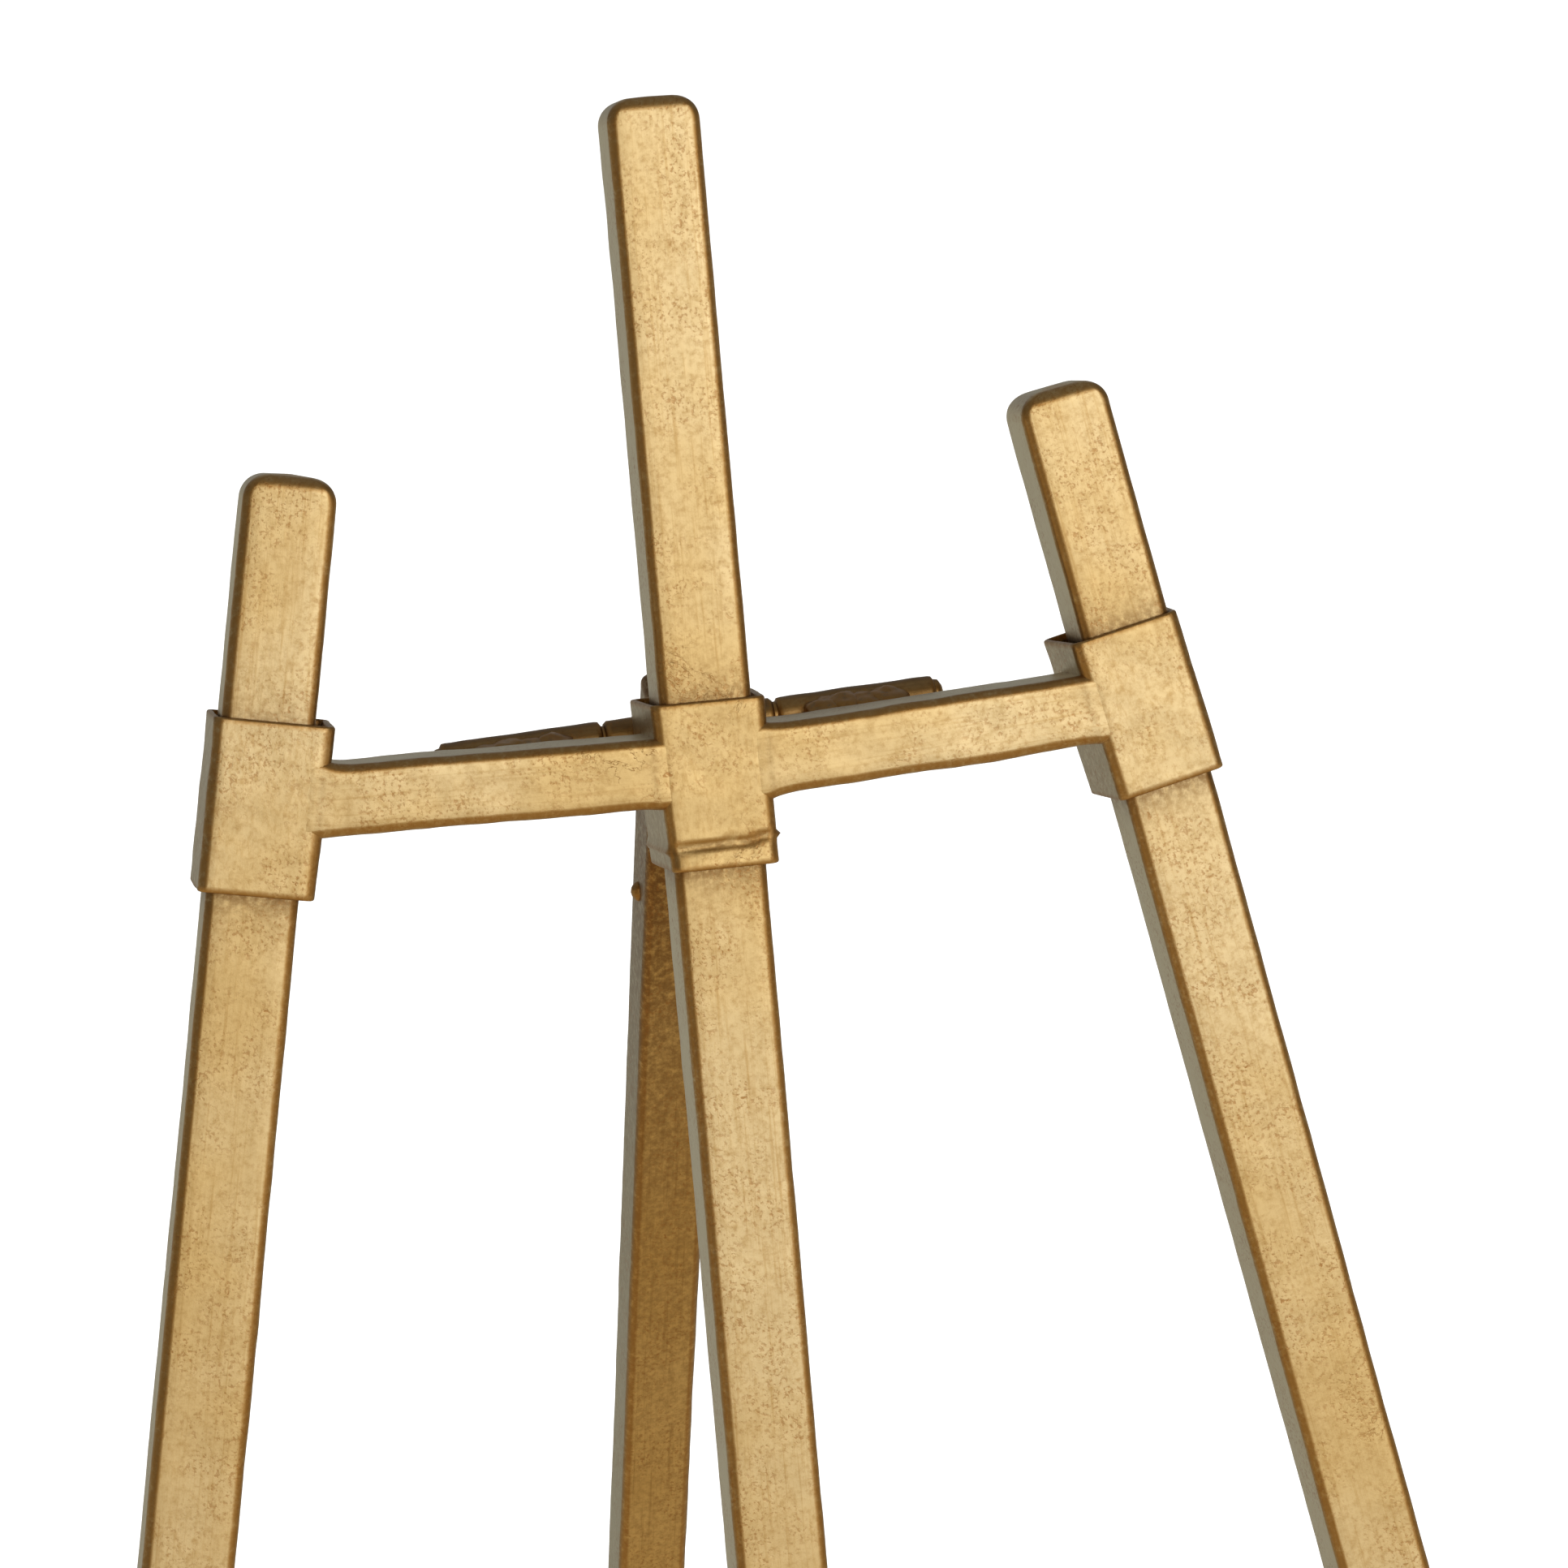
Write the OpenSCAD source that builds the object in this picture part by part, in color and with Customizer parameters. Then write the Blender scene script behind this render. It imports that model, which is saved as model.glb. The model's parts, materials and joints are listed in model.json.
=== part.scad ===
// Folding floor easel: a welded front frame of three square-tube legs, and a hinged rear leg.
// Front-frame coordinates: X to the right, Y to the rear, Z up along the centre leg, and the origin
// on the centre leg's axis at the upper crossbar. The whole frame then leans back on the floor.

/* [Stance] */
// Height of the upper crossbar above the floor, measured along the centre leg
bar_to_floor = 1160; // [900:10:1300]
// Backward lean of the front frame from upright, in degrees
lean = 14; // [10:0.5:18]
// Angle of each outer leg from the centre leg, in degrees
fan = 10.85; // [8:0.05:12]
// Distance of each outer leg's axis from the centre leg at the upper crossbar
leg_spread = 93.4; // [85:0.2:110]
// Angle between the rear leg and the front frame when open, in degrees
rear_open = 33.5; // [28:0.5:38]
// Sideways set of the rear leg on its knuckle, in degrees
rear_set = 3.9; // [0:0.1:5]

/* [Front legs] */
// Outside width and depth of the square leg tube
leg_w = 19.05; // [16:0.05:22]
// Wall thickness of every tube
wall = 1.2; // [1:0.1:2]
// Corner radius of the leg tube
leg_corner = 2.0; // [1.5:0.1:4]
// Height of the centre leg above the upper crossbar
centre_top = 141; // [120:1:180]
// Height of the left leg above the upper crossbar, along the leg
left_top = 72.2; // [50:0.2:90]
// Height of the right leg above the upper crossbar, along the leg
right_top = 76.2; // [50:0.2:90]
// Height of each welded top cap
cap_h = 6; // [5:0.5:10]
// Radius of a cap's two upper corners, as seen from the front
cap_side_round = 5; // [2:0.5:5]
// Radius of a cap's front and rear upper edges
cap_face_round = 3; // [2:0.5:5]
// Length of the centre leg below the lower crossbar
centre_tail = 60; // [40:5:120]

/* [Collars] */
// Height of a collar along its leg
collar_h = 34; // [28:1:40]
// Sheet thickness of a collar
collar_t = 1.2; // [1:0.1:2]
// Gap between a collar and the sides of its leg
collar_gap = 0.8; // [0.8:0.1:1.2]
// Depth of a collar, front to back
collar_d = 27; // [25:0.5:29]
// Extra turn of the upper right collar on its leg, in degrees
right_collar_turn = 2; // [0:0.1:2]

/* [Crossbars] */
// Height of a crossbar
bar_h = 14.5; // [12:0.5:18]
// Depth of a crossbar
bar_d = 20; // [16:0.5:22]
// Corner radius of a crossbar
bar_corner = 2.6; // [2:0.1:4]
// Height of the upper crossbar's middle at the centre collar
bar_mid_z = 3.4; // [0:0.1:6]
// Rise of the upper left half towards its outer end
left_rise = 1.4; // [0:0.1:6]
// Rise of the upper right half towards its outer end
right_rise = 5.2; // [0:0.1:6]
// Distance of the lower crossbar below the upper one
lower_drop = 720; // [500:10:850]

/* [Picture rests] */
// Distance of each rest from the centre leg
rest_x = 120; // [80:5:160]
// Width of the flat bar
rest_w = 16; // [12:1:25]
// Thickness of the flat bar
rest_t = 5; // [4:0.5:6]
// Reach of the rest in front of the crossbar
rest_reach = 62; // [40:2:80]
// Height of the upturned tip above the rest
rest_tip = 20; // [12:1:40]
// Inside radius of the bends
rest_bend = 4; // [3:0.5:6]

/* [Hinge] */
// Outside radius of the hinge barrels and knuckle
barrel_r = 4; // [3.8:0.1:4.5]
// Radius of the hinge pin
pin_r = 2.5; // [2:0.1:2.7]
// Radial clearance of the pin in the turning knuckle
pin_play = 0.05; // [0.02:0.01:0.09]
// Half length of the knuckle
knuckle_half = 18; // [14:1:22]
// Half length of the whole hinge
hinge_half = 53; // [45:1:60]
// Height of the pin above the middle of the frame
hinge_z = 10; // [8:0.5:12]
// Distance of the pin behind the centre leg's axis
hinge_y = 21; // [21:0.5:24]
// Sideways slope of the pin, in degrees
hinge_slope = 2.3; // [0:0.1:3]
// Width of the weld tab between a barrel and the crossbar
tab_w = 14; // [8:1:20]
// Height of the weld tab
tab_h = 6; // [4:0.5:7]
// Distance of the weld tab's middle below the pin
tab_drop = 1; // [0:0.5:2]

/* [Rear leg] */
// Outside width and depth of the rear leg tube
rear_w = 16; // [14:0.5:18]
// Distance of the rear leg's axis behind the pin
rear_back = 7.5; // [7:0.1:8]
// Rounding of the rear leg's head
head_round = 5; // [5:0.5:7]
// Distance of the stud below the pin
stud_drop = 49; // [30:1:80]

/* [Feet] */
// Wall thickness of the rubber feet
foot_t = 2.4; // [2:0.1:4]
// Length of the feet up the leg
foot_h = 30; // [20:1:45]

/* [Hidden] */
$fn = 48;
gold = "#b08d4f";
dark_gold = "#8a6a38";
black = "#26262a";
// Front face of the collars and crossbars, and of their middle depth
face_y = -leg_w / 2 - collar_t;
collar_mid_y = face_y + collar_d / 2;
bar_mid_y = face_y + bar_d / 2;
collar_w = leg_w + 2 * (collar_gap + collar_t);
// Height of the crossbar above the floor, and the places of the frame's origin in the row
frame_z = bar_to_floor * cos(lean);
front_foot_y = -bar_to_floor * sin(lean);
rear_reach = (frame_z + hinge_z) * tan(rear_open - lean) + hinge_y + rear_back;
frame_y = -(front_foot_y + rear_reach) / 2;
// Half the lower crossbar's span between the outer legs' axes
lower_spread = leg_spread + lower_drop * tan(fan);
// How far each foot's tube stops short of the floor, along the leg
tube_stop = 9;
outer_len = bar_to_floor / cos(fan);
hinge_gap = 0.4;
pin_head_r = 3.2;
pin_head_t = 1.5;
rear_cap_drop = 8;
big = 3000;

// Square with round corners
module round_square(w, d, r) {
    square([w - 2 * r, d], center = true);
    square([w, d - 2 * r], center = true);
    for (x = [-1, 1], y = [-1, 1]) translate([x * (w / 2 - r), y * (d / 2 - r)]) circle(r);
}

// Hollow tube from z0 to z1
module tube(w, d, r, z0, z1) {
    translate([0, 0, z0]) difference() {
        linear_extrude(z1 - z0) round_square(w, d, r);
        translate([0, 0, -1]) linear_extrude(z1 - z0 + 2) round_square(w - 2 * wall, d - 2 * wall, r - wall);
    }
}

// Places its children on the leaning front frame
module on_frame() {
    translate([0, frame_y, frame_z]) rotate([-lean, 0, 0]) children();
}

// Places its children on a front leg: side is -1 for the left, 0 for the centre, 1 for the right
module on_leg(side) {
    on_frame() translate([side * leg_spread, 0, 0]) rotate([0, -side * fan, 0]) children();
}

// Places its children on the hinge, with X along the pin
module on_hinge() {
    on_frame() translate([0, hinge_y, hinge_z]) rotate([0, -hinge_slope, 0]) children();
}

// Places its children on the rear leg, with Z up the leg and the origin on the pin
module on_rear() {
    on_hinge() rotate([rear_open, 0, 0]) children();
}

// Places its children on the rear leg's own axis
module on_rear_axis() {
    on_rear() rotate([0, rear_set, 0]) translate([0, rear_back, 0]) children();
}

module above_floor() {
    intersection() {
        children();
        translate([-big / 2, -big / 2, 0]) cube(big);
    }
}

// Welded cap with rounded upper edges, r_side at its sides and r_face at its front and rear.
// Its flat base lies at z = 0
module top_cap(w, h, r_leg, r_side, r_face) {
    intersection() {
        linear_extrude(h) round_square(w, w, r_leg);
        for (edge = [[0, r_side], [90, r_face]])
            rotate([0, 0, edge[0]]) rotate([90, 0, 0]) linear_extrude(2 * w, center = true)
                translate([0, h - w / 2]) round_square(w, w, edge[1]);
    }
}

// Outer leg running from its cap down into its foot
module outer_leg(side, top) {
    color(gold) on_leg(side) tube(leg_w, leg_w, leg_corner, tube_stop - outer_len, top - cap_h);
}

module left_leg() { outer_leg(-1, left_top); }
module right_leg() { outer_leg(1, right_top); }

module centre_leg() {
    color(gold) on_leg(0)
        tube(leg_w, leg_w, leg_corner, -lower_drop - centre_tail, centre_top - cap_h);
}

module leg_cap(side, top) {
    color(gold) on_leg(side) translate([0, 0, top - cap_h])
        top_cap(leg_w, cap_h, leg_corner, cap_side_round, cap_face_round);
}

module left_leg_cap() { leg_cap(-1, left_top); }
module centre_leg_cap() { leg_cap(0, centre_top); }
module right_leg_cap() { leg_cap(1, right_top); }

module centre_leg_plug() {
    color(gold) on_leg(0) translate([0, 0, -lower_drop - centre_tail]) mirror([0, 0, 1])
        top_cap(leg_w, cap_h / 2, leg_corner, leg_corner, leg_corner);
}

// Outside block of a collar, centred on its leg
module collar_block() {
    translate([0, collar_mid_y, -collar_h / 2]) linear_extrude(collar_h)
        round_square(collar_w, collar_d, collar_t + 0.6);
}

// Collar that wraps a leg: it touches the leg's front face and leaves a gap elsewhere
module collar() {
    difference() {
        collar_block();
        translate([0, collar_mid_y, -collar_h / 2 - 1]) linear_extrude(collar_h + 2)
            round_square(collar_w - 2 * collar_t, collar_d - 2 * collar_t, 0.6);
    }
}

// Places of the upper collars, on the height of the crossbar's ends
module at_upper(side) {
    rise = side < 0 ? left_rise : right_rise;
    turn = side > 0 ? right_collar_turn : 0;
    slide = side == 0 ? 0 : bar_mid_z + rise - 1;
    on_leg(side) translate([0, 0, slide]) rotate([0, -turn, 0]) children();
}

// Places of the lower collars
module at_lower(side) {
    on_leg(side) translate([0, 0, side == 0 ? -lower_drop : -lower_drop / cos(fan)]) children();
}

module upper_left_collar() { color(gold) at_upper(-1) collar(); }
module upper_centre_collar() { color(gold) at_upper(0) collar(); }
module upper_right_collar() { color(gold) at_upper(1) collar(); }
module lower_left_collar() { color(gold) at_lower(-1) collar(); }
module lower_centre_collar() { color(gold) at_lower(0) collar(); }
module lower_right_collar() { color(gold) at_lower(1) collar(); }

// Half crossbar from the centre line outwards, before its ends are cut to the collars
module half_bar(side, span, z, rise) {
    on_frame() translate([0, bar_mid_y, z]) rotate([0, -side * atan(rise / span), 0])
        rotate([0, side * 90, 0]) tube(bar_h, bar_d, bar_corner, 0, span);
}

module upper_bar(side, rise) {
    color(gold) difference() {
        half_bar(side, leg_spread, bar_mid_z, rise);
        at_upper(0) collar_block();
        at_upper(side) collar_block();
        at_upper(side) translate([side * collar_w, 0, 0]) cube([2 * collar_w - 4, 60, 60], center = true);
    }
}

module upper_left_bar() { upper_bar(-1, left_rise); }
module upper_right_bar() { upper_bar(1, right_rise); }

module lower_bar(side) {
    color(gold) difference() {
        half_bar(side, lower_spread, -lower_drop, 0);
        at_lower(0) collar_block();
        at_lower(side) collar_block();
        at_lower(side) translate([side * collar_w, 0, 0]) cube([2 * collar_w - 4, 60, 60], center = true);
    }
}

module lower_left_bar() { lower_bar(-1); }
module lower_right_bar() { lower_bar(1); }

// Quarter bend of the flat bar, in the plane of its profile
module bend(a) {
    rotate(a) intersection() {
        difference() {
            circle(rest_bend + rest_t);
            circle(rest_bend);
        }
        square(rest_bend + rest_t);
    }
}

// Side profile of a picture rest: x points forward, and y up, from the crossbar's front face
module rest_profile() {
    r = rest_bend + rest_t;
    floor_y = -bar_h / 2;
    translate([0, floor_y + r]) square([rest_t, bar_h - r]);
    translate([r, floor_y + r]) bend(180);
    translate([r, floor_y]) square([rest_reach - 2 * r, rest_t]);
    translate([rest_reach - r, floor_y + r]) bend(270);
    translate([rest_reach - rest_t, floor_y + r]) square([rest_t, rest_tip + rest_t - r - rest_t / 2]);
    translate([rest_reach - rest_t / 2, floor_y + rest_tip + rest_t / 2]) circle(rest_t / 2);
}

module picture_rest(side) {
    color(gold) on_frame() translate([side * rest_x - rest_w / 2, face_y, -lower_drop])
        rotate([90, 0, -90]) mirror([0, 0, 1]) linear_extrude(rest_w) rest_profile();
}

module left_rest() { picture_rest(-1); }
module right_rest() { picture_rest(1); }

// Rubber foot round a tube's end: the floor cuts its base flat
module foot(w, r, length) {
    difference() {
        translate([0, 0, -length - 40]) linear_extrude(foot_h + 40) round_square(w + 2 * foot_t, w + 2 * foot_t, r + 1);
        translate([0, 0, tube_stop - length]) linear_extrude(foot_h + 1) round_square(w, w, r);
    }
}

module outer_foot(side) {
    color(black) above_floor() on_leg(side) foot(leg_w, leg_corner, outer_len);
}

module left_foot() { outer_foot(-1); }
module right_foot() { outer_foot(1); }

// Cylinder along X from x0 to x1
module rod(r, x0, x1) {
    translate([x0, 0, 0]) rotate([0, 90, 0]) cylinder(r = r, h = x1 - x0);
}

// Barrel tube from x0 to x1 with a bore
module barrel(x0, x1, bore) {
    difference() {
        rod(barrel_r, x0, x1);
        rod(bore, x0 - 1, x1 + 1);
    }
}

module left_barrel() {
    color(dark_gold) on_hinge() barrel(-hinge_half, -knuckle_half - hinge_gap, pin_r);
}

module right_barrel() {
    color(dark_gold) on_hinge() barrel(knuckle_half + hinge_gap, hinge_half, pin_r);
}

// Welded tab between the back of a crossbar half and its barrel
module hinge_tab(side) {
    color(dark_gold) difference() {
        on_hinge() translate([side * (knuckle_half + hinge_half) / 2, 0, -tab_drop]) rotate([90, 0, 0])
            linear_extrude(big) square([tab_w, tab_h], center = true);
        on_hinge() rod(barrel_r, -big, big);
        on_frame() translate([-big / 2, -big + face_y + bar_d, -big / 2]) cube(big);
    }
}

module left_hinge_tab() { hinge_tab(-1); }
module right_hinge_tab() { hinge_tab(1); }

module hinge_pin() {
    color(dark_gold) on_hinge() {
        rod(pin_r, -hinge_half, hinge_half);
        rod(pin_head_r, -hinge_half - pin_head_t, -hinge_half);
        rod(pin_head_r, hinge_half, hinge_half + pin_head_t);
    }
}

module hinge_knuckle() {
    color(dark_gold) on_rear() barrel(-knuckle_half, knuckle_half, pin_r + pin_play);
}

// Length of the rear leg's axis from the pin's level to the floor
rear_len = (frame_z + hinge_z * cos(lean) - hinge_y * sin(lean) + rear_back * sin(rear_open - lean))
    / cos(rear_open - lean);

module rear_leg() {
    color(dark_gold) on_rear_axis() tube(rear_w, rear_w, leg_corner, tube_stop - rear_len, -rear_cap_drop);
}

// Solid rounded head of the rear leg, coped round the knuckle
module rear_leg_cap() {
    color(dark_gold) difference() {
        on_rear_axis() translate([0, 0, -rear_cap_drop]) intersection() {
            linear_extrude(2 * rear_w) round_square(rear_w, rear_w, leg_corner);
            rotate([90, 0, 90]) linear_extrude(2 * rear_w, center = true)
                round_square(rear_w, 2 * rear_w, head_round);
        }
        on_rear() rod(barrel_r, -big, big);
    }
}

module rear_leg_stud() {
    color(dark_gold) on_rear_axis() translate([-rear_w / 2, 0, -stud_drop]) intersection() {
        sphere(2.2);
        translate([-5, -5, -5]) cube([5, 10, 10]);
    }
}

module rear_foot() {
    color(black) above_floor() on_rear_axis() foot(rear_w, leg_corner, rear_len);
}

left_leg();
centre_leg();
right_leg();
left_leg_cap();
centre_leg_cap();
right_leg_cap();
centre_leg_plug();
upper_left_collar();
upper_centre_collar();
upper_right_collar();
upper_left_bar();
upper_right_bar();
lower_left_collar();
lower_centre_collar();
lower_right_collar();
lower_left_bar();
lower_right_bar();
left_rest();
right_rest();
left_foot();
right_foot();
left_barrel();
right_barrel();
left_hinge_tab();
right_hinge_tab();
hinge_pin();
rear_leg();
rear_leg_cap();
hinge_knuckle();
rear_leg_stud();
rear_foot();
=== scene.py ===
import json
import math
import bmesh
import bpy
from mathutils import Matrix, Vector, noise


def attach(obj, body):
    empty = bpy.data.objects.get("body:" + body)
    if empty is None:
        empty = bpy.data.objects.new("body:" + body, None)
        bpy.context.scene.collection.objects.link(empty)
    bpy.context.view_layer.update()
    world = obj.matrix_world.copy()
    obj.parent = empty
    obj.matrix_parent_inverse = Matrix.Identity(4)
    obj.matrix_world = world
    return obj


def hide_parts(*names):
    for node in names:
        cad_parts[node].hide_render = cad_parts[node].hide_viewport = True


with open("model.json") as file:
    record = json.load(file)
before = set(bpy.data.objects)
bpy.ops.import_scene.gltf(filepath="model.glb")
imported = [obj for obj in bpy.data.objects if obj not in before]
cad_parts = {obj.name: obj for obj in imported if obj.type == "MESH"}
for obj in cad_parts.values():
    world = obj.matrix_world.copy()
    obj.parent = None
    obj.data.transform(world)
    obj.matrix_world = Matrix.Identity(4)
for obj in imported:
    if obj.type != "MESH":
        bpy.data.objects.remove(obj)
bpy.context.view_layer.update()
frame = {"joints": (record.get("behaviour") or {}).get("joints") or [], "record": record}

# ---------------------------------------------------------------- dimensions, in metres and degrees
MM = 0.001
FRONT, REAR = "front_frame", "rear_leg_assembly"
LEG_W, LEG_CORNER = 19.05 * MM, 2.0 * MM
LEG_SPREAD, FAN = 93.4 * MM, 10.85
TOPS = {-1: 72.2 * MM, 0: 141 * MM, 1: 76.2 * MM}
# The tail includes the plug in the centre leg's lower end.
LOWER_DROP, CENTRE_TAIL = 720 * MM, 63 * MM
COLLAR_T, COLLAR_GAP, COLLAR_D, COLLAR_H = 1.2 * MM, 0.8 * MM, 27 * MM, 34 * MM
BAR_H, BAR_D, BAR_CORNER, BAR_MID_Z = 14.5 * MM, 20 * MM, 2.0 * MM, 3.4 * MM
RISE = {-1: 1.4 * MM, 1: 5.2 * MM}
RIGHT_COLLAR_TURN = 2
BARREL_R, KNUCKLE_HALF, HINGE_HALF, HINGE_GAP = 4 * MM, 18 * MM, 53 * MM, 0.4 * MM
HINGE_Y, HINGE_Z, HINGE_SLOPE = 21 * MM, 10 * MM, 2.3
REAR_W, REAR_BACK, REAR_SET, STUD_DROP = 16 * MM, 7.5 * MM, 3.9, 49 * MM
REST_X, REST_W, REST_T, REST_REACH, REST_TIP = 120 * MM, 16 * MM, 5 * MM, 62 * MM, 20 * MM
REST_BEND = 4 * MM
FOOT_T, FOOT_H = 2.4 * MM, 30 * MM
# The tubes stop this far above the floor, along their own length, inside the rubber feet.
TUBE_STOP = 9 * MM
FACE_Y = -LEG_W / 2 - COLLAR_T
COLLAR_MID_Y = FACE_Y + COLLAR_D / 2
BAR_MID_Y = FACE_Y + BAR_D / 2
COLLAR_W = LEG_W + 2 * (COLLAR_GAP + COLLAR_T)

# ---------------------------------------------------------------- places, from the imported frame
hinge = frame["joints"][0]
PIVOT = Vector(hinge["pos_m"])
OPEN_ANGLE = -min(hinge["range_deg"])
rest_up = next(m["axis"] for m in frame["record"]["mounts"] if m["name"] == "left_rest_top")
LEAN = math.atan2(rest_up[1], rest_up[2])
LEAN_TURN = Matrix.Rotation(-LEAN, 4, "X")
AT_FRAME = Matrix.Translation(PIVOT - LEAN_TURN @ Vector((0, HINGE_Y, HINGE_Z))) @ LEAN_TURN


def shift(x, y, z):
    return Matrix.Translation((x, y, z))


def turn(degrees, axis):
    return Matrix.Rotation(math.radians(degrees), 4, axis)


def at_leg(side):
    """Local axes of a front leg: Z up the leg, with the origin at the upper crossbar."""
    return AT_FRAME @ shift(side * LEG_SPREAD, 0, 0) @ turn(-side * FAN, "Y")


AT_HINGE = AT_FRAME @ shift(0, HINGE_Y, HINGE_Z) @ turn(-HINGE_SLOPE, "Y")
AT_REAR = AT_HINGE @ turn(OPEN_ANGLE, "X")
AT_REAR_AXIS = AT_REAR @ turn(REAR_SET, "Y") @ shift(0, REAR_BACK, 0)


def floor_distance(at):
    """How far the floor lies below the origin of at, along its own Z."""
    down = at.to_3x3() @ Vector((0, 0, -1))
    return -at.translation.z / down.z


# ---------------------------------------------------------------- mesh building
# How sharply the skin bends, in radians per metre, where the brown of patina and painted shade on round edges
# begins and where it is full.
FLAT_BEND, CORNER_BEND = 150, 420


def mark_edges(bm):
    """Stores how sharply the skin bends outward at each point, from 0 on flats to 1 on round corners."""
    layer = bm.verts.layers.float.new("edge")
    for vert in bm.verts:
        bend = 0.0
        for line in vert.link_edges:
            if len(line.link_faces) == 2:
                area = sum(face.calc_area() for face in line.link_faces)
                across = area / (2 * max(line.calc_length(), 1e-6))
                bend = max(bend, line.calc_face_angle_signed(0) / max(across, 1e-6))
        vert[layer] = max(0.0, min(1.0, (bend - FLAT_BEND) / (CORNER_BEND - FLAT_BEND)))


def finish_mesh(name, bm, body, nodes, material):
    """Turns a bmesh into a smooth piece that rides on a body and stands for CAD nodes."""
    bmesh.ops.remove_doubles(bm, verts=bm.verts, dist=1e-7)
    bmesh.ops.recalc_face_normals(bm, faces=bm.faces)
    mark_edges(bm)
    mesh = bpy.data.meshes.new(name)
    bm.to_mesh(mesh)
    bm.free()
    mesh.polygons.foreach_set("use_smooth", [True] * len(mesh.polygons))
    piece = bpy.data.objects.new(name, mesh)
    bpy.context.scene.collection.objects.link(piece)
    mesh.materials.append(material)
    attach(piece, body)
    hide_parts(*nodes)
    return piece


def rounded_ring(half_w, half_d, r, corner_steps=6, flat_steps=6):
    """Points and outward normals round a rectangle with round corners."""
    r = min(r, half_w * 0.999, half_d * 0.999)
    centres = [(half_w - r, half_d - r, 0), (r - half_w, half_d - r, 90),
               (r - half_w, r - half_d, 180), (half_w - r, r - half_d, 270)]
    points = []
    for index, (cx, cy, start) in enumerate(centres):
        for step in range(corner_steps + 1):
            angle = math.radians(start + 90 * step / corner_steps)
            n = Vector((math.cos(angle), math.sin(angle)))
            points.append((Vector((cx, cy)) + r * n, n))
        nx, ny, _ = centres[(index + 1) % 4]
        end_n = points[-1][1]
        a = points[-1][0]
        b = Vector((nx, ny)) + r * end_n
        points += [(a.lerp(b, k / flat_steps), end_n) for k in range(1, flat_steps)]
    return points


def round_ring(radius, steps=28):
    """Points and outward normals round a circle."""
    ring = []
    for k in range(steps):
        n = Vector((math.cos(math.tau * k / steps), math.sin(math.tau * k / steps)))
        ring.append((radius * n, n))
    return ring


def wobble(co, seed, fine, coarse):
    """Hand-made unevenness at a point: a slow wave and small dents, in metres."""
    p = Vector(co) + Vector((seed * 1.37, seed * 0.71, seed * 2.13))
    return coarse * noise.noise(p * 22) + fine * noise.noise(p * 120) + 0.4 * fine * noise.noise(p * 320)


def painted_side_sheen_share(across):
    """Share of the painted sheen, a duller colour that stands in for the light on faces turned sideways, from
    0 to 1.
    """
    return max(0.0, min(1.0, (abs(across) - 0.8) / 0.18))


def loft(bm, stations, seed, fine=0.1 * MM, coarse=0.15 * MM):
    """Skin over rings: each station is (matrix, ring) or (matrix, ring, share of dark brown), the dark brown
    being soot and painted shade. Both ends are closed.
    """
    grain = bm.verts.layers.float_vector.get("grain") or bm.verts.layers.float_vector.new("grain")
    painted_side_sheen = bm.verts.layers.float.get("painted_side_sheen") or bm.verts.layers.float.new("painted_side_sheen")
    painted_shade_and_soot = bm.verts.layers.float.get("painted_shade_and_soot") or bm.verts.layers.float.new("painted_shade_and_soot")
    rows = []
    along = 0.0
    last = None
    for at, ring, *extra in stations:
        if last is not None:
            along += (at.translation - last).length
        last = at.translation.copy()
        row = []
        for p, n in ring:
            local = Vector((p.x, p.y, 0))
            world = at @ local
            out = (at.to_3x3() @ Vector((n.x, n.y, 0))).normalized()
            vert = bm.verts.new(world + out * wobble(world, seed, fine, coarse))
            vert[grain] = (p.x, p.y, along)
            vert[painted_side_sheen] = painted_side_sheen_share(n.x)
            vert[painted_shade_and_soot] = extra[0] if extra else 0.0
            row.append(vert)
        rows.append(row)
    count = len(rows[0])
    for low, high in zip(rows, rows[1:]):
        for k in range(count):
            j = (k + 1) % count
            bm.faces.new((low[k], low[j], high[j], high[k]))
    bm.faces.new(rows[0])
    bm.faces.new(rows[-1])


def spaced(start, stop, step):
    """Even values from start to stop, about step apart."""
    count = max(1, round(abs(stop - start) / step))
    return [start + (stop - start) * k / count for k in range(count + 1)]


def dome_stations(at, top, half, side_round, face_round):
    """Rings that close a square tube with a rounded cap. side_round shows from the front of the easel,
    and face_round is the softer edge between its front and top."""
    rings = []
    for k in range(1, 15):
        z = top - side_round * (1 - math.sin(math.radians(90 * k / 14)))
        insets = []
        for r in (side_round, face_round):
            over = max(0.0, z - (top - r)) / r
            insets.append(r * (1 - math.sqrt(max(0.0, 1 - over ** 2))))
        rings.append((at @ shift(0, 0, z), rounded_ring(half - insets[0], half - insets[1], LEG_CORNER)))
    for share in (0.75, 0.45, 0.12):
        ring = rounded_ring((half - side_round) * share, (half - face_round) * share, LEG_CORNER * share)
        rings.append((at @ shift(0, 0, top + 0.35 * MM * (1 - share)), ring))
    return rings


def blob(bm, centre, radii, seed, amount=0.16):
    """Lump of weld metal: a ball with an uneven skin."""
    grain = bm.verts.layers.float_vector.get("grain") or bm.verts.layers.float_vector.new("grain")
    made = bmesh.ops.create_icosphere(bm, subdivisions=4, radius=1.0)["verts"]
    for vert in made:
        n = vert.co.normalized()
        lump = 1 + amount * noise.noise(n * 1.9 + Vector((seed, seed * 2, 0))) \
            + 0.4 * amount * noise.noise(n * 5.1 + Vector((0, seed, seed)))
        vert.co = Vector(centre) + Vector((n.x * radii[0], n.y * radii[1], n.z * radii[2])) * lump
        vert[grain] = vert.co


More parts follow.
